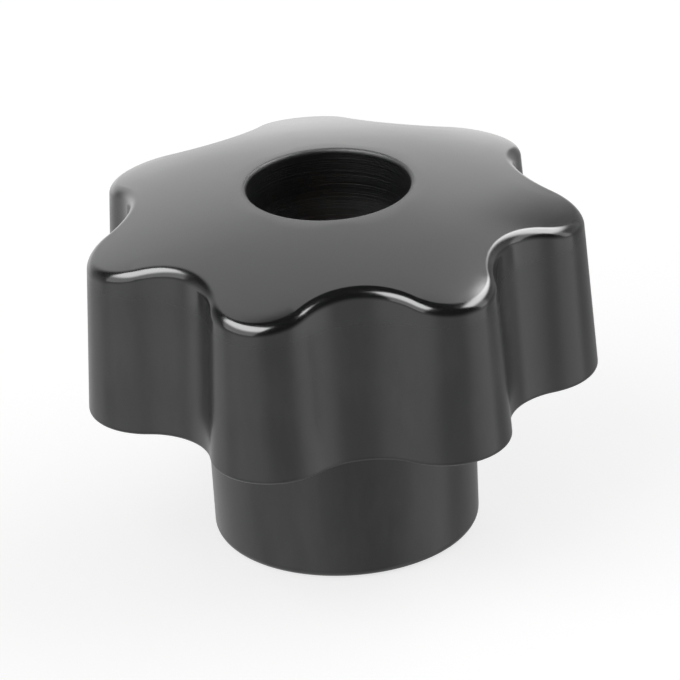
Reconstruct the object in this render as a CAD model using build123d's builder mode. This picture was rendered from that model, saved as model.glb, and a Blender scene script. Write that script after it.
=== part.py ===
"""Seven-lobed star knob: a moulded black phenolic body round a threaded brass insert.

Millimetres. The origin is the centre of the hub's clamping face and +Z is the knob's axis,
from the hub up to the domed grip. One lobe points along +X.
"""

import os
from math import atan2, cos, hypot, pi, radians, sin, tan

from build123d import *

# ---- grip: the lobed head -------------------------------------------------------------
lobes = 7
head_radius = 25.0        # axis to the tip of a lobe, at the underside
valley_depth = 4.8        # how far a finger valley lies inside the tips
lobe_radius = 6.1         # roundness of a lobe in plan
side_draft = 2.8          # degrees; the sides lean in towards the top
dome_height = 4.5         # how far the dome falls from its crown to head_radius
top_edge_radius = 1.3     # roll from the dome into the sides
under_edge_radius = 0.5   # broken edge round the flat underside

# ---- hub ------------------------------------------------------------------------------
total_height = 36.2       # clamping face to the crown of the dome
hub_height = 16.2         # clamping face to the underside of the grip
hub_radius = 12.8         # at the clamping face
hub_draft = 0.7           # degrees; the hub widens towards the grip
hub_rim_radius = 0.9      # rounded rim of the clamping face
hub_root_radius = 0.4     # small fillet where the hub meets the grip

# ---- hole above the insert ------------------------------------------------------------
hole_radius = 7.85
hole_rim_radius = 0.35    # broken edge where the hole breaks through the dome

# ---- brass insert, M12 x 1.75 ---------------------------------------------------------
thread_minor_radius = 5.053
countersink_radius = 6.5  # mouth of the 90 degree countersink at the hub end
top_chamfer_radius = 6.1  # mouth of the same chamfer at the top end
insert_height = 18.0
collar_radius = 7.25      # turned collar that shows in the clamping face
collar_height = 2.0
stock_flats = 17.0        # across the flats of the hexagon bar the insert is cut from
corner_chamfer = 1.0      # height of the turned chamfer on the corners at both ends
corner_angle = 30.0       # degrees, as on a turned nut
waist_radius = 7.9        # anchoring groove that the moulding flows into
waist_width = 3.0
waist_flank = 0.6         # how far along the axis each side of the groove slopes

# ---- worked out from the above --------------------------------------------------------
lobe_step = 2 * pi / lobes
root_radius = head_radius - valley_depth
lobe_centre = head_radius - lobe_radius
dome_radius = (head_radius**2 + dome_height**2) / (2 * dome_height)
stock_radius = stock_flats / 2 / cos(pi / 6)
chamfer_reach = corner_chamfer / tan(radians(corner_angle))
waist_z = (collar_height + insert_height) / 2


def valley_radius():
    """Radius of the valley arc that is tangent to the lobe arcs on both sides of it."""
    half = lobe_step / 2
    reach = lobe_centre**2 + root_radius**2 - 2 * lobe_centre * root_radius * cos(half) - lobe_radius**2
    return reach / (2 * (lobe_radius - root_radius + lobe_centre * cos(half)))


def polar(radius, angle):
    return (radius * cos(angle), radius * sin(angle))


def star_outline():
    """Closed outline of the grip: a convex arc for each lobe, a concave arc for each valley."""
    hollow = valley_radius()
    valley_centre = root_radius + hollow
    # where a lobe arc hands over to the valley arc, on the line between their centres
    lobe_at = (lobe_centre, 0.0)
    valley_at = polar(valley_centre, lobe_step / 2)
    share = lobe_radius / (lobe_radius + hollow)
    join_x = lobe_at[0] + share * (valley_at[0] - lobe_at[0])
    join_y = lobe_at[1] + share * (valley_at[1] - lobe_at[1])
    join_radius = hypot(join_x, join_y)
    join_angle = atan2(join_y, join_x)
    for index in range(lobes):
        turn = index * lobe_step
        ThreePointArc(
            polar(join_radius, turn - join_angle),
            polar(head_radius, turn),
            polar(join_radius, turn + join_angle),
        )
        ThreePointArc(
            polar(join_radius, turn + join_angle),
            polar(root_radius, turn + lobe_step / 2),
            polar(join_radius, turn + lobe_step - join_angle),
        )


# ---- outer form of the insert: it shapes the insert and the pocket that is moulded on it
with BuildPart() as insert_blank:
    with BuildSketch(Plane.XY.offset(collar_height)):
        RegularPolygon(radius=stock_radius, side_count=6)
    extrude(amount=insert_height - collar_height)
    # one turned profile trims the corners at both ends and cuts the waist
    with BuildSketch(Plane.XZ):
        with BuildLine():
            Polyline(
                (0, collar_height),
                (stock_radius - chamfer_reach, collar_height),
                (stock_radius, collar_height + corner_chamfer),
                (stock_radius, waist_z - waist_width / 2 - waist_flank),
                (waist_radius, waist_z - waist_width / 2),
                (waist_radius, waist_z + waist_width / 2),
                (stock_radius, waist_z + waist_width / 2 + waist_flank),
                (stock_radius, insert_height - corner_chamfer),
                (stock_radius - chamfer_reach, insert_height),
                (0, insert_height),
                close=True,
            )
        make_face()
    revolve(axis=Axis.Z, mode=Mode.INTERSECT)
    with BuildSketch(Plane.XY):
        Circle(collar_radius)
    extrude(amount=collar_height)

# ---- brass insert ---------------------------------------------------------------------
with BuildPart() as threaded_insert:
    add(insert_blank.part)
    with BuildSketch(Plane.XZ):
        with BuildLine():
            Polyline(
                (0, 0),
                (countersink_radius, 0),
                (thread_minor_radius, countersink_radius - thread_minor_radius),
                (thread_minor_radius, insert_height - (top_chamfer_radius - thread_minor_radius)),
                (top_chamfer_radius, insert_height),
                (0, insert_height),
                close=True,
            )
        make_face()
    revolve(axis=Axis.Z, mode=Mode.SUBTRACT)

# ---- moulded body ---------------------------------------------------------------------
with BuildPart() as knob_body:
    # lobed grip, leaning in towards the top
    with BuildSketch(Plane.XY.offset(hub_height)):
        with BuildLine():
            star_outline()
        make_face()
    extrude(amount=total_height - hub_height, taper=side_draft)

    # domed top with its edge rolled into the sides, and a broken edge underneath; the sphere
    # lies on its side, which keeps its seam off the dome
    with Locations((0, 0, total_height - dome_radius)):
        Sphere(dome_radius, rotation=(0, 90, 0), mode=Mode.INTERSECT)
    fillet(knob_body.faces().sort_by(Axis.Z)[-1].edges(), top_edge_radius)
    fillet(knob_body.faces().sort_by(Axis.Z)[0].edges(), under_edge_radius)

    # hub, widening towards the grip, with a rounded rim and a small root fillet
    with BuildSketch(Plane.XY):
        Circle(hub_radius)
    extrude(amount=hub_height, taper=-hub_draft)
    underside = knob_body.edges().filter_by_position(Axis.Z, hub_height, hub_height)
    fillet(underside.sort_by_distance((0, 0, hub_height))[0], hub_root_radius)
    fillet(knob_body.faces().sort_by(Axis.Z)[0].edges(), hub_rim_radius)

    # hole down to the insert, with a broken edge on the dome
    with BuildSketch(Plane.XY.offset(insert_height)):
        Circle(hole_radius)
    extrude(amount=total_height - insert_height, mode=Mode.SUBTRACT)
    top_edges = knob_body.edges().sort_by_distance((0, 0, total_height))
    fillet(top_edges[0], hole_rim_radius)

    # pocket that the insert fills, because the body is moulded round it
    add(insert_blank.part, mode=Mode.SUBTRACT)

knob_body.part.label = "knob_body"
threaded_insert.part.label = "threaded_insert"
os.makedirs("parts", exist_ok=True)
export_step(knob_body.part, "parts/knob_body.step")
export_step(threaded_insert.part, "parts/threaded_insert.step")
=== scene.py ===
"""Looks of a seven-lobed star knob: a glossy black phenolic moulding round a turned brass insert.

Metres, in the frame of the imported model: the origin is the centre of the hub's clamping face,
+Z runs up the knob's axis and one lobe points along +X.
"""

import math

import bmesh
import bpy
from mathutils import Matrix, Vector, noise


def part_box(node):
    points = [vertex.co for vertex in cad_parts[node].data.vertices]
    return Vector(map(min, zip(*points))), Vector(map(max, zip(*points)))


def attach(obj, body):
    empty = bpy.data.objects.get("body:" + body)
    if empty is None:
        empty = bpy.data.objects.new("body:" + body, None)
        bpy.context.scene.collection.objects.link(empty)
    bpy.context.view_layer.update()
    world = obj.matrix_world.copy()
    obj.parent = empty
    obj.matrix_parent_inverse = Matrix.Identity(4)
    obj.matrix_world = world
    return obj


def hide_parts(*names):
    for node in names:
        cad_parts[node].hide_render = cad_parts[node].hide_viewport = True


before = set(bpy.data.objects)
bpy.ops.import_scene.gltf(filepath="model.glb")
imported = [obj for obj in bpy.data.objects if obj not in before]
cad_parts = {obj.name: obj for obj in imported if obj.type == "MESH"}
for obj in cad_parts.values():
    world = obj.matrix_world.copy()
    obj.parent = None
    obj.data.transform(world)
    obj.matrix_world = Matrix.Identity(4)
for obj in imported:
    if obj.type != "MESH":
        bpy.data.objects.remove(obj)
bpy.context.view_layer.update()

mm = 0.001

# ---- sizes of the moulding ------------------------------------------------------------
lobes = 7
head_radius = 25.0 * mm      # axis to the tip of a lobe, at the underside
valley_depth = 4.8 * mm
lobe_radius = 6.1 * mm
side_draft = math.radians(2.8)
dome_height = 4.5 * mm
crown = 36.2 * mm            # height of the dome's crown, which the hole takes away
top_roll = 1.3 * mm
under_roll = 0.5 * mm
hub_height = 16.2 * mm
hub_foot = 12.8 * mm         # radius at the clamping face
hub_draft = math.radians(0.7)
hub_rim_roll = 0.9 * mm
hub_root_roll = 0.4 * mm
hole_radius = 7.85 * mm
hole_rim_roll = 0.35 * mm
dome_band = 2.2 * mm         # strip of the dome that follows the wavy outline
top_turn = math.radians(71)      # how far the surface turns over the top edge
rim_turn = math.radians(95.5)    # and over the rim of the hole
near = 0.01 * mm             # points closer than this count as level

# ---- sizes of the insert, M12 x 1.75 --------------------------------------------------
pitch = 1.75 * mm
minor_radius = 5.053 * mm
major_radius = 6.0 * mm
sink_radius = 6.5 * mm       # mouth of the countersink at the hub end
top_sink_radius = 6.1 * mm
insert_low, insert_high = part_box("threaded_insert")
insert_height = insert_high.z
collar_radius = 7.25 * mm
collar_height = 2.0 * mm
stock_flats = insert_high.y - insert_low.y
corner_chamfer = 1.0 * mm
corner_slope = math.radians(30)
waist_radius = 7.9 * mm
waist_width = 3.0 * mm
waist_flank = 0.6 * mm
recess = 0.08 * mm           # the brass face lies this far behind the moulding's face
film_edge = 7.02 * mm        # radius that the film over the collar's edge reaches in to
film_ripple = 0.22 * mm      # scales how far the edge wanders in and out
film_tongue = 1.9 * mm       # scales how far its torn tongues reach
film_edge_limit = 7.2 * mm

# ---- worked out from the above --------------------------------------------------------
lobe_step = 2 * math.pi / lobes
root_radius = head_radius - valley_depth
lobe_centre = head_radius - lobe_radius
dome_radius = (head_radius**2 + dome_height**2) / (2 * dome_height)
hub_root = hub_foot + hub_height * math.tan(hub_draft)
half = lobe_step / 2
reach = lobe_centre**2 + root_radius**2 - 2 * lobe_centre * root_radius * math.cos(half) - lobe_radius**2
valley_radius = reach / (2 * (lobe_radius - root_radius + lobe_centre * math.cos(half)))
valley_centre = Vector((math.cos(half), math.sin(half), 0)) * (root_radius + valley_radius)
lobe_flank = math.atan2(valley_centre.y, valley_centre.x - lobe_centre)
stock_radius = stock_flats / 2 / math.cos(math.pi / 6)
chamfer_reach = corner_chamfer / math.tan(corner_slope)

# how finely the arcs are divided
lobe_steps = 28
valley_steps = 20
ring_points = lobes * (lobe_steps + valley_steps)
turned_steps = 120
thread_steps = 96
film_steps = 144


# ---- modelling helpers ----------------------------------------------------------------
def start(name):
    """Opens a new piece in edit mode, holding a single point at the origin."""
    bpy.ops.mesh.primitive_plane_add(size=mm)
    piece = bpy.context.object
    piece.name = name
    piece.data.name = name
    bpy.ops.object.mode_set(mode="EDIT")
    bpy.ops.mesh.select_mode(type="VERT")
    bpy.ops.mesh.select_all(action="SELECT")
    bpy.ops.mesh.merge(type="CENTER")
    return piece


def parts_of(kind):
    """The vertices, edges or faces of the piece in edit mode."""
    form = bmesh.from_edit_mesh(bpy.context.edit_object.data)
    return form, {"VERT": form.verts, "EDGE": form.edges, "FACE": form.faces}[kind]


def pick(test, kind="VERT"):
    """Selects the vertices, edges or faces for which the test holds."""
    bpy.ops.mesh.select_mode(type=kind)
    bpy.ops.mesh.select_all(action="DESELECT")
    form, things = parts_of(kind)
    for thing in things:
        if test(thing):
            thing.select_set(True)
    form.select_flush_mode()
    bmesh.update_edit_mesh(bpy.context.edit_object.data)


def at_height(height, inner=0.0, outer=1.0):
    """A test for edges that lie level at this height, between two distances from the axis."""
    def level(edge):
        return all(
            abs(v.co.z - height) < near and inner < v.co.xy.length < outer for v in edge.verts
        )
    return level


def move(x=0.0, y=0.0, z=0.0):
    bpy.ops.transform.translate(value=(x, y, z))


def push_out(x=0.0, y=0.0, z=0.0):
    """Extrudes the selection by this much."""
    bpy.ops.mesh.extrude_region_move(TRANSFORM_OT_translate={"value": (x, y, z)})


def swing(centre, angle, steps, copies=False):
    """Spins the selection anticlockwise about an upright axis."""
    bpy.ops.mesh.spin(steps=steps, angle=angle, center=centre, axis=(0, 0, -1), dupli=copies)


def join_doubles():
    bpy.ops.mesh.select_mode(type="VERT")
    bpy.ops.mesh.select_all(action="SELECT")
    bpy.ops.mesh.remove_doubles(threshold=0.0005 * mm)


def close_piece():
    """Turns all faces outwards and leaves edit mode."""
    bpy.ops.mesh.select_all(action="SELECT")
    bpy.ops.mesh.normals_make_consistent(inside=False)
    bpy.ops.object.mode_set(mode="OBJECT")


def move_points(place):
    """Moves each selected point to where place(point) says."""
    form, points = parts_of("VERT")
    for point in points:
        if point.select:
            point.co = place(point.co)
    bmesh.update_edit_mesh(bpy.context.edit_object.data)


def roll_over(radius, turn, segments):
    """Rounds the selected edges to a radius, where the surface turns through an angle."""
    bpy.ops.mesh.bevel(
        offset=radius * math.tan(turn / 2), offset_type="OFFSET", segments=segments,
        profile=0.5, affect="EDGES", clamp_overlap=False,
    )


def use_alone(piece):
    """Makes this piece the only one selected, and the active one."""
    bpy.ops.object.select_all(action="DESELECT")
    piece.select_set(True)
    bpy.context.view_layer.objects.active = piece


def combine(piece, other, operation):
    """Applies a Boolean to piece and deletes the other shape."""
    use_alone(piece)
    boolean = piece.modifiers.new(operation.lower(), "BOOLEAN")
    boolean.operation = operation
    boolean.solver = "EXACT"
    boolean.object = other
    bpy.ops.object.modifier_apply(modifier=boolean.name)
    bpy.data.objects.remove(other)
    bpy.ops.object.mode_set(mode="EDIT")
    join_doubles()
    bpy.ops.mesh.dissolve_degenerate(threshold=0.001 * mm)
    bpy.ops.mesh.select_all(action="SELECT")
    bpy.ops.mesh.delete_loose()
    bpy.ops.object.mode_set(mode="OBJECT")
    return piece


def smooth(piece, angle):
    """Shades smooth between faces that meet at less than the angle, and keeps the flats flat."""
    use_alone(piece)
    bpy.ops.object.shade_smooth_by_angle(angle=angle)
    weigh = piece.modifiers.new("flat_faces", "WEIGHTED_NORMAL")
    weigh.keep_sharp = True
    weigh.weight = 100
    bpy.ops.object.modifier_apply(modifier=weigh.name)


def dome_at(x, y):
    """Height of the dome over a point of the plan."""
    return crown - dome_radius + math.sqrt(dome_radius**2 - x * x - y * y)


# ---- the moulding ---------------------------------------------------------------------
def star_ring():
    """The closed outline of the grip, from the single point that is selected."""
    flank = Vector((math.cos(lobe_flank), -math.sin(lobe_flank), 0)) * lobe_radius
    move(lobe_centre + flank.x, flank.y)
    swing((lobe_centre, 0, 0), 2 * lobe_flank, lobe_steps)
    swing(valley_centre, lobe_step - 2 * lobe_flank, valley_steps)
    bpy.ops.mesh.select_all(action="SELECT")
    swing((0, 0, 0), lobe_step * (lobes - 1), lobes - 1, copies=True)
    join_doubles()


def settle(inner_inset):
    """Moves the selected ring in from the wall below it and drops it on to the dome."""
    bpy.ops.transform.shrink_fatten(value=-inner_inset)
    move_points(lambda p: Vector((p.x, p.y, dome_at(p.x, p.y))))


def circle(radius, height):
    """Adds a round ring of points to the piece in edit mode."""
    bpy.ops.mesh.select_all(action="DESELECT")
    bpy.ops.mesh.primitive_circle_add(
        vertices=ring_points, radius=radius, location=(0, 0, height), rotation=(0, 0, -math.pi / 2),
    )


def make_moulding():
    piece = start("knob_moulding")
    star_ring()
    move(z=hub_height)

    # the wall leans in as it rises to the dome
    wall = dome_at(lobe_centre, 0) - hub_height
    push_out(z=wall)
    settle(wall * math.tan(side_draft))
    # a band of the dome that follows the outline, then the dome in to the hole
    push_out(z=dome_band)
    settle(dome_band)
    rim = dome_at(hole_radius, 0)
    halfway = hub_height + wall / 2
    inner = min(v.co.xy.length for v in parts_of("VERT")[1] if v.select)
    circle(hole_radius, rim)
    hole_edge = at_height(rim, 0, hole_radius * 1.01)

    def band_edge(edge):
        end = edge.verts[0].co
        return edge.is_boundary and end.z > halfway and end.xy.length > inner - near

    pick(lambda edge: band_edge(edge) or hole_edge(edge), "EDGE")
    bpy.ops.mesh.bridge_edge_loops(number_cuts=6, interpolation="LINEAR")
    pick(lambda v: v.co.z > halfway)
    move_points(lambda p: Vector((p.x, p.y, dome_at(p.x, p.y))))
    # down the hole to the insert
    pick(hole_edge, "EDGE")
    push_out(z=insert_height - 1 * mm - rim)
    bpy.ops.mesh.edge_face_add()

    # the flat underside, in to the hub, and the hub down to the clamping face
    circle(hub_root, hub_height)
    pick(lambda edge: edge.is_boundary or edge.is_wire, "EDGE")
    bpy.ops.mesh.bridge_edge_loops(number_cuts=2, interpolation="LINEAR")
    root_edge = at_height(hub_height, 0, hub_root * 1.001)
    pick(root_edge, "EDGE")
    push_out(z=-hub_height)
    shrink = hub_foot / hub_root
    bpy.ops.transform.resize(value=(shrink, shrink, 1))
    bpy.ops.mesh.edge_face_add()
    bpy.ops.mesh.select_all(action="SELECT")
    bpy.ops.mesh.normals_make_consistent(inside=False)

    # every corner that the mould leaves rounded
    quarter = math.pi / 2
    brim = dome_at(root_radius, 0) - 4 * mm

    def top_corner(edge):
        end = edge.verts[0].co
        if end.z < brim or len(edge.link_faces) < 2:
            return False
        tilt = sorted(face.normal.z for face in edge.link_faces)
        return tilt[0] < 0.5 < tilt[1] and end.xy.length > 1.5 * hole_radius

    pick(top_corner, "EDGE")
    roll_over(top_roll, top_turn, 10)
    pick(hole_edge, "EDGE")
    roll_over(hole_rim_roll, rim_turn, 5)

    def under_corner(edge):
        if not at_height(hub_height, root_radius * 0.99, 1)(edge) or len(edge.link_faces) < 2:
            return False
        tilt = sorted(face.normal.z for face in edge.link_faces)
        return tilt[0] < -0.9 and tilt[1] > -0.5

    pick(under_corner, "EDGE")
    roll_over(under_roll, quarter + side_draft, 5)
    pick(root_edge, "EDGE")
    roll_over(hub_root_roll, quarter + hub_draft, 5)
    pick(at_height(0), "EDGE")
    roll_over(hub_rim_roll, quarter - hub_draft, 8)
    close_piece()
    return piece


# ---- the insert -----------------------------------------------------------------------
waist_z = (collar_height + insert_height) / 2
outside = [
    (collar_radius, recess),
    (collar_radius, collar_height),
    (stock_radius - chamfer_reach, collar_height),
    (stock_radius, collar_height + corner_chamfer),
    (stock_radius, waist_z - waist_width / 2 - waist_flank),
    (waist_radius, waist_z - waist_width / 2),
    (waist_radius, waist_z + waist_width / 2),
    (stock_radius, waist_z + waist_width / 2 + waist_flank),
    (stock_radius, insert_height - corner_chamfer),
    (stock_radius - chamfer_reach, insert_height),
]
bore = [
    (top_sink_radius, insert_height),
    (minor_radius, insert_height - (top_sink_radius - minor_radius)),
    (minor_radius, sink_radius - minor_radius),
    (sink_radius - recess, recess),
]


def draw_section(section, closed=True):
    """Draws a half section as edges, from the single point that is selected."""
    move(section[0][0], 0, section[0][1])
    onward = section[1:] + section[:1] if closed else section[1:]
    for here, there in zip(section, onward):
        push_out(there[0] - here[0], 0, there[1] - here[1])
    join_doubles()


def turned(name, section):
    """A solid of revolution from half its section, given as (radius, height) pairs."""
    piece = start(name)
    draw_section(section, closed=section[0][0] > 0)
    bpy.ops.mesh.select_all(action="SELECT")
    swing((0, 0, 0), 2 * math.pi, turned_steps)
    join_doubles()
    close_piece()
    return piece


def from_hexagon_bar(piece):
    """Cuts a turned solid down to the flats of its hexagon stock."""
    bpy.ops.mesh.primitive_cylinder_add(
        vertices=6, radius=stock_radius * 1.0001, depth=2 * insert_height,
        location=(0, 0, insert_height / 2), rotation=(0, 0, math.pi / 2),
    )
    bpy.ops.object.transform_apply(location=True, rotation=True, scale=True)
    return combine(piece, bpy.context.object, "INTERSECT")


def thread_cutter():
    """The ridge that a tap leaves as a groove: a right-hand helix with 30 degree flanks."""
    slope = math.tan(math.pi / 6)
    foot = minor_radius - 0.25 * mm
    tip_half = pitch / 16
    foot_half = tip_half + (major_radius - foot) * slope
    section = [
        (foot, -foot_half), (major_radius, -tip_half), (major_radius, tip_half), (foot, foot_half),
    ]
    piece = start("tap")
    draw_section([(radius, height - pitch) for radius, height in section])
    bpy.ops.object.mode_set(mode="OBJECT")
    screw = piece.modifiers.new("helix", "SCREW")
    screw.axis = "Z"
    screw.screw_offset = pitch
    screw.steps = screw.render_steps = thread_steps
    screw.iterations = math.ceil(insert_height / pitch) + 2
    use_alone(piece)
    bpy.ops.object.modifier_apply(modifier=screw.name)
    bpy.ops.object.mode_set(mode="EDIT")
    join_doubles()
    bpy.ops.mesh.select_all(action="SELECT")
    bpy.ops.mesh.fill_holes(sides=4)
    close_piece()
    return piece


def make_insert():
    piece = from_hexagon_bar(turned("brass_insert", outside + bore))
    return combine(piece, thread_cutter(), "DIFFERENCE")


def ragged(p):
    """Moves a point of a ring in or out to the torn edge of the film."""
    way = p.xy.normalized()
    tongue = max(0.0, noise.noise(Vector((way.x * 2.3, way.y * 2.3, 0.7))) - 0.12)
    ripple = noise.noise(Vector((way.x * 1.4, way.y * 1.4, 4.0)))
    radius = min(film_edge + film_ripple * ripple - film_tongue * tongue, film_edge_limit)
    return Vector((*(way * radius), p.z))


def make_pocket(moulding):
    """Hollows the moulding for the insert, and leaves a thin ragged skin over the collar's edge."""
    core = [(0, recess)] + outside + [(0, insert_height)]
    combine(moulding, from_hexagon_bar(turned("core", core)), "DIFFERENCE")
    bpy.ops.mesh.primitive_circle_add(vertices=film_steps, radius=film_edge, location=(0, 0, -mm))
    mouth = bpy.context.object
    bpy.ops.object.transform_apply(location=True, rotation=True, scale=True)
    bpy.ops.object.mode_set(mode="EDIT")
    bpy.ops.mesh.select_all(action="SELECT")
    move_points(ragged)
    bpy.ops.mesh.edge_face_add()
    push_out(z=1.5 * mm + recess)
    close_piece()
    return combine(moulding, mouth, "DIFFERENCE")


# ---- shader helpers -------------------------------------------------------------------
class Wire:
    """A shader socket that takes part in Python arithmetic. Each operation adds a Math node."""

    def __init__(self, shader, socket):
        self.shader = shader
        self.socket = socket

    def calculate(self, operation, *values):
        return self.shader.add("ShaderNodeMath", {"operation": operation}, dict(enumerate(values)))

    def __add__(self, other):
        return self.calculate("ADD", self, other)

    def __sub__(self, other):
        return self.calculate("SUBTRACT", self, other)

    def __mul__(self, other):
        return self.calculate("MULTIPLY", self, other)

    def __truediv__(self, other):
        return self.calculate("DIVIDE", self, other)

    def __rsub__(self, other):
        return self.calculate("SUBTRACT", other, self)

    def __pow__(self, other):
        return self.calculate("POWER", self, other)

    __radd__ = __add__
    __rmul__ = __mul__

    def __abs__(self):
        return self.calculate("ABSOLUTE", self)

    def highest(self, other):
        return self.calculate("MAXIMUM", self, other)

    def steps(self, low, high):
        """0 below low, 1 above high and a smooth rise between them."""
        return self.shader.add(
            "ShaderNodeMapRange", {"interpolation_type": "SMOOTHSTEP"},
            {"Value": self, "From Min": low, "From Max": high, "To Min": 0.0, "To Max": 1.0},
        )


class Shader:
    """A node tree, with one method that adds any node to it."""

    def __init__(self, tree):
        self.tree = tree
        self.tree.nodes.clear()

    def add(self, kind, settings, sockets, output=0):
        """Adds a node: its settings first, then a value or a wire for each of its inputs."""
        node = self.tree.nodes.new(kind)
        for name, value in settings.items():
            setattr(node, name, value)
        for name, value in sockets.items():
            if isinstance(value, Wire):
                self.tree.links.new(value.socket, node.inputs[name])
            else:
                node.inputs[name].default_value = value
        return Wire(self, node.outputs[output])

    def dot(self, vector, fixed):
        """The scalar product of a vector wire and a fixed vector."""
        return self.add(
            "ShaderNodeVectorMath", {"operation": "DOT_PRODUCT"}, {0: vector, 1: tuple(fixed)}, "Value",
        )


def new_material(name):
    material = bpy.data.materials.new(name)
    material.use_nodes = True
    return material, Shader(material.node_tree)


def place(shader):
    return shader.add("ShaderNodeTexCoord", {}, {}, "Object")


def noise_at(shader, where, scale, detail=2.0, rough=0.5):
    sockets = {"Vector": where, "Scale": scale, "Detail": detail, "Roughness": rough}
    return shader.add("ShaderNodeTexNoise", {}, sockets, "Fac")


def bumps(shader, height, distance, strength=1.0, under=None):
    sockets = {"Height": height, "Distance": distance, "Strength": strength}
    if under:
        sockets["Normal"] = under
    return shader.add("ShaderNodeBump", {}, sockets, "Normal")


def blend_colours(shader, factor, first, second):
    """Blends two colours, each of them a fixed (r, g, b) or a wire."""
    first, second = (c if isinstance(c, Wire) else (*c, 1.0) for c in (first, second))
    # a Mix node's inputs 6 and 7 and its output 2 are its colours
    sockets = {"Factor": factor, 6: first, 7: second}
    return shader.add("ShaderNodeMix", {"data_type": "RGBA"}, sockets, 2)


def stretched(shader, where, across, along):
    """Coordinates scaled across the axis and along it, for marks that run one way on a wall."""
    sockets = {0: where, 1: (across, across, along)}
    return shader.add("ShaderNodeVectorMath", {"operation": "MULTIPLY"}, sockets)


def from_axis(shader, where):
    flat = stretched(shader, where, 1.0, 0.0)
    return shader.add("ShaderNodeVectorMath", {"operation": "LENGTH"}, {0: flat}, "Value")


def rings(shader, radius, scale):
    """Uneven concentric tool marks."""
    where = shader.add("ShaderNodeCombineXYZ", {}, {"X": radius * scale})
    return noise_at(shader, where, 1.0, 3.0, 0.6)


def close_tree(shader, surface, kind="Material"):
    out = shader.tree.nodes.new("ShaderNodeOutput" + kind)
    shader.tree.links.new(surface.socket, out.inputs["Surface"])


def finish_surface(shader, sockets):
    surface = shader.add("ShaderNodeBsdfPrincipled", {}, sockets)
    close_tree(shader, surface)


# ---- materials ------------------------------------------------------------------------
def black_phenolic():
    """Glossy on the grip, satin underneath, faced off at the foot and dull inside the hole."""
    material, shader = new_material("black_phenolic")
    here = place(shader)
    high = shader.dot(here, (0, 0, 1))
    radius = from_axis(shader, here)

    # the zones of the surface, each 1 inside and 0 outside
    in_hole = radius.steps(hole_radius + 0.45 * mm, hole_radius + 0.2 * mm)
    in_hole = in_hole * high.steps(hub_height, insert_height)
    rim = radius.steps(hole_radius + 0.7 * mm, hole_radius + 0.3 * mm)
    rim = rim * high.steps(crown - mm, crown - 0.6 * mm)
    under = high.steps(hub_height + 0.12 * mm, hub_height + 0.02 * mm)
    under = under * radius.steps(hub_root, hub_root + 0.5 * mm)
    foot = high.steps(0.22 * mm, 0.06 * mm)
    foot_rim = high.steps(1.1 * mm, 0.3 * mm) * radius.steps(hub_foot - 1.2 * mm, hub_foot - 0.4 * mm)
    brow = crown - dome_height
    wall = high.steps(brow, brow - 2 * mm) * (1 - under) * (1 - foot)

    cloud = noise_at(shader, here, 90.0, 3.0)
    mottle = noise_at(shader, here, 130.0, 5.0, 0.58).steps(0.34, 0.68)
    grain = noise_at(shader, here, 2600.0, 2.0)
    ripple = noise_at(shader, here, 160.0, 1.0)
    streaks = noise_at(shader, stretched(shader, here, 330.0, 110.0), 1.0, 3.0, 0.55)
    hole_marks = noise_at(shader, stretched(shader, here, 60.0, 8000.0), 1.0, 1.0)
    facing = rings(shader, radius, 2600.0).steps(0.34, 0.66)
    scuffs = noise_at(shader, here, 420.0, 6.0, 0.7).steps(0.60, 0.72)

    colour = blend_colours(shader, cloud, (0.0045, 0.0047, 0.0050), (0.0082, 0.0084, 0.0088))
    colour = blend_colours(shader, wall * streaks.steps(0.36, 0.68) * 0.7, colour, (0.0190, 0.0192, 0.0196))
    colour = blend_colours(shader, under * (0.12 + mottle * 0.8), colour, (0.0270, 0.0270, 0.0276))
    colour = blend_colours(shader, foot * (0.30 + facing * 0.45), colour, (0.0540, 0.0545, 0.0555))
    colour = blend_colours(shader, foot_rim * scuffs * 0.6, colour, (0.0480, 0.0475, 0.0470))

    rough = 0.12 + cloud * 0.05 + grain * 0.04 + scuffs * 0.03
    rough = rough + wall * (0.09 + streaks * 0.09)
    rough = rough + under * (0.13 + mottle * 0.12)
    rough = rough + foot * (0.20 + facing * 0.12) + foot_rim * scuffs * 0.12
    rough = rough + in_hole * 0.22 + rim * 0.12
    normal = bumps(shader, ripple, 0.02 * mm)
    normal = bumps(shader, streaks * wall, 0.004 * mm, 1.0, normal)
    normal = bumps(shader, mottle * under, 0.02 * mm, 0.6, normal)
    normal = bumps(shader, facing * foot, 0.012 * mm, 0.8, normal)
    normal = bumps(shader, hole_marks * in_hole * (1 - rim), 0.045 * mm, 1.0, normal)
    finish_surface(shader, {"Base Color": colour, "Roughness": rough, "Normal": normal, "IOR": 1.6})
    return material


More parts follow.
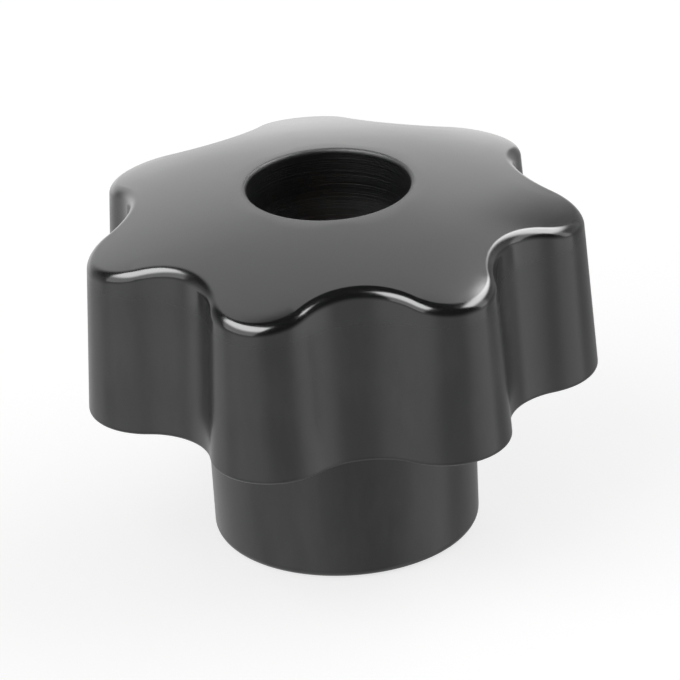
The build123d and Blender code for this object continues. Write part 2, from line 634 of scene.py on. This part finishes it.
def turned_brass():
    """Browner down the thread, with painted shade in the thread's roots and a painted highlight on its
    crests.
    """
    material, shader = new_material("turned_brass")
    here = place(shader)
    high = shader.dot(here, (0, 0, 1))
    radius = from_axis(shader, here)
    ends = high.steps(0.25 * mm, 0.05 * mm)
    depth = high.steps(0.4 * mm, 7 * mm)
    # painted highlight: the crests of the thread are drawn in paler brass, as if they caught the light
    painted_crest_highlight = radius.steps(minor_radius + 0.35 * mm, minor_radius + 0.05 * mm)
    # painted shade: the roots of the thread, where the grooves shade themselves, are darkened to a deep
    # brown
    root = radius.steps(minor_radius + 0.35 * mm, major_radius - 0.1 * mm) * (1 - ends)
    root = root * high.steps(0.9 * mm, 1.6 * mm)

    cloud = noise_at(shader, here, 300.0, 4.0, 0.6)
    grain = noise_at(shader, here, 3000.0, 2.0)
    tool_marks = rings(shader, radius, 5200.0)
    chatter = noise_at(shader, stretched(shader, here, 120.0, 9000.0), 1.0, 2.0)

    colour = blend_colours(shader, cloud, (0.78, 0.49, 0.17), (0.93, 0.67, 0.31))
    colour = blend_colours(shader, depth * 0.8, colour, (0.62, 0.27, 0.055))
    # painted shade: deep brown in the roots of the thread
    colour = blend_colours(shader, root * 0.85, colour, (0.17, 0.058, 0.012))
    # painted highlight: paler brass on the crests of the thread
    colour = blend_colours(shader, painted_crest_highlight * 0.6, colour, (0.97, 0.74, 0.38))
    rough = 0.14 + cloud * 0.08 + grain * 0.05 + root * 0.18 + tool_marks * ends * 0.08
    normal = bumps(shader, tool_marks * ends, 0.010 * mm, 0.9)
    normal = bumps(shader, chatter * (1 - ends), 0.006 * mm, 0.7, normal)
    finish_surface(shader, {"Base Color": colour, "Roughness": rough, "Metallic": 1.0, "Normal": normal})
    return material


def pale_floor():
    """White with a faint soft shadow, and clear from below."""
    material, shader = new_material("pale_floor")
    surface = shader.add("ShaderNodeBsdfDiffuse", {}, {"Color": (0.45, 0.45, 0.45, 1.0)})
    glow = shader.add("ShaderNodeEmission", {}, {"Color": (1, 1, 1, 1), "Strength": 0.70})
    paint = shader.add("ShaderNodeAddShader", {}, {0: surface, 1: glow})
    clear = shader.add("ShaderNodeBsdfTransparent", {}, {})
    behind = shader.add("ShaderNodeNewGeometry", {}, {}, "Backfacing")
    close_tree(shader, shader.add("ShaderNodeMixShader", {}, {0: behind, 1: paint, 2: clear}))
    return material


# ---- the piece ------------------------------------------------------------------------
bpy.ops.object.select_all(action="DESELECT")
moulding = make_pocket(make_moulding())
insert = make_insert()
smooth(moulding, math.radians(40))
smooth(insert, math.radians(35))
moulding.data.materials.clear()
moulding.data.materials.append(black_phenolic())
insert.data.materials.clear()
insert.data.materials.append(turned_brass())
for piece, node, slot in (
    (moulding, "knob_body", "black_phenolic"),
    (insert, "threaded_insert", "brass"),
):
    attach(piece, "root")
    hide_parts(node)


# ---- floor, lamps and world -----------------------------------------------------------
floor_gap = 0.02 * mm        # keeps the floor clear of the clamping face
bpy.ops.mesh.primitive_plane_add(size=4.0, location=(0, 0, -floor_gap))
floor = bpy.context.object
floor.name = "floor"
floor.data.materials.append(pale_floor())
floor.visible_diffuse = False
floor.visible_glossy = False
floor.visible_transmission = False
floor.visible_shadow = False


def towards(azimuth, elevation):
    """The direction of a place seen from the knob. Azimuth 0 is -Y, the camera's side, and 90 is +X."""
    a, e = math.radians(azimuth), math.radians(elevation)
    return Vector((math.sin(a) * math.cos(e), -math.cos(a) * math.cos(e), math.sin(e)))


def lamp(name, azimuth, elevation, distance, width, height, level):
    """A soft area lamp aimed at the knob, which lights a white card held square to it to this level."""
    light = bpy.data.lights.new(name, "AREA")
    light.shape = "RECTANGLE"
    light.size = width
    light.size_y = height
    light.energy = level * math.pi * math.pi * distance**2
    holder = bpy.data.objects.new(name, light)
    bpy.context.scene.collection.objects.link(holder)
    way = towards(azimuth, elevation)
    holder.location = Vector((0, 0, crown / 2)) + way * distance
    holder.rotation_euler = way.to_track_quat("Z", "Y").to_euler()
    holder.visible_glossy = False


lamp("left_lamp", -51, 42, 1.0, 0.9, 1.0, 0.42)
lamp("right_lamp", 115, 38, 1.0, 1.2, 0.9, 0.42)


def softbox(way, azimuth, elevation, half_width, half_height):
    """1 inside a rectangular softbox seen in this direction and 0 outside it, with soft edges."""
    shader = way.shader
    face = towards(azimuth, elevation)
    side = Vector((0, 0, 1)).cross(face).normalized()
    ahead = shader.dot(way, face)
    across = abs(shader.dot(way, side)) / ahead
    along = abs(shader.dot(way, face.cross(side))) / ahead
    edge = 0.06
    inside = (across / half_width).steps(1 + edge, 1 - edge)
    inside = inside * (along / half_height).steps(1 + edge, 1 - edge)
    return inside * ahead.steps(0.0, 0.05)


def studio_world():
    """What the gloss mirrors: two softboxes, a lit backdrop and a pale floor in a dark room."""
    world = bpy.data.worlds.new("studio")
    world.use_nodes = True
    bpy.context.scene.world = world
    shader = Shader(world.node_tree)
    way = shader.add("ShaderNodeTexCoord", {}, {}, "Generated")
    height = shader.dot(way, (0, 0, 1))
    level_way = (1 - height * height) ** 0.5
    back = shader.dot(way, towards(187, 0)) / level_way
    left = shader.dot(way, towards(-38, 0)) / level_way
    right = shader.dot(way, towards(85, 0)) / level_way

    # the floor is lit in two pools and darkens towards the back
    pools = 0.72 + 0.42 * left.steps(0.72, 0.98) + 0.54 * right.steps(0.78, 0.99)
    pools = pools * (1 - 0.35 * back.steps(0.1, 0.6))
    floor_glow = height.steps(0.42, -0.30) * pools * (1 - 0.42 * height.steps(-0.44, -0.475))
    # the backdrop is brightest halfway up
    backdrop = back.steps(0.5, 0.85) * height.steps(-0.4, 0.0) * height.steps(0.905, 0.875)
    backdrop = backdrop * (0.95 + 0.70 * height.steps(0.10, 0.52) - 0.2 * height.steps(0.5, 0.7))
    room = 0.06 + 0.3 * back.steps(-0.1, 0.3) * height.steps(0.6, 0.2)
    # a black card stands low on the right, behind the knob
    card = shader.dot(way, towards(138, 0)) / level_way
    card = card.steps(0.80, 0.88) * height.steps(0.60, 0.50)
    # both softboxes are brightest at the top, so that the dome burns out less when seen from the side
    boxes = softbox(way, -50, 38, 0.60, 0.58) + softbox(way, 116, 32, 0.56, 0.54)
    boxes = boxes * (2.1 + 8.4 * height.steps(0.50, 0.70))
    mirrored = room + (floor_glow + backdrop + boxes) * (1 - 0.85 * card)

    # a plain fill for matt surfaces, the mirrored room for gloss and white behind the knob
    fill = 0.30 + 0.55 * height.steps(0.05, -0.05)
    glossy_ray = shader.add("ShaderNodeLightPath", {}, {}, "Is Glossy Ray")
    camera_ray = shader.add("ShaderNodeLightPath", {}, {}, "Is Camera Ray")
    clear_ray = shader.add("ShaderNodeLightPath", {}, {}, "Is Transmission Ray")
    level = fill + glossy_ray * (mirrored - fill)
    level = level + camera_ray.highest(clear_ray) * (1 - level)
    glow = shader.add("ShaderNodeBackground", {}, {"Color": (1, 1, 1, 1), "Strength": level})
    close_tree(shader, glow, "World")


studio_world()
bpy.context.scene.view_settings.view_transform = "Standard"

# ---- camera ---------------------------------------------------------------------------
camera_distance = 622.2 * mm
camera_lean = math.radians(-3.32)
camera_way = towards(7.14, 26.34)
middle = Vector((0, 0, 19.0)) * mm
framing = Vector((0.25, 0.15, 0)) * mm    # moves the knob to its place in the frame

camera_data = bpy.data.cameras.new("camera")
camera_data.lens = 343.1
camera_data.sensor_width = 36
camera_data.clip_start = 0.01
camera = bpy.data.objects.new("camera", camera_data)
bpy.context.scene.collection.objects.link(camera)
lean = Matrix.Rotation(camera_lean, 3, "Z").to_quaternion()
camera.rotation_mode = "QUATERNION"
camera.rotation_quaternion = camera_way.to_track_quat("Z", "Y") @ lean
aim = middle + camera.rotation_quaternion @ framing
camera.location = aim + camera_way * camera_distance
bpy.context.scene.camera = camera
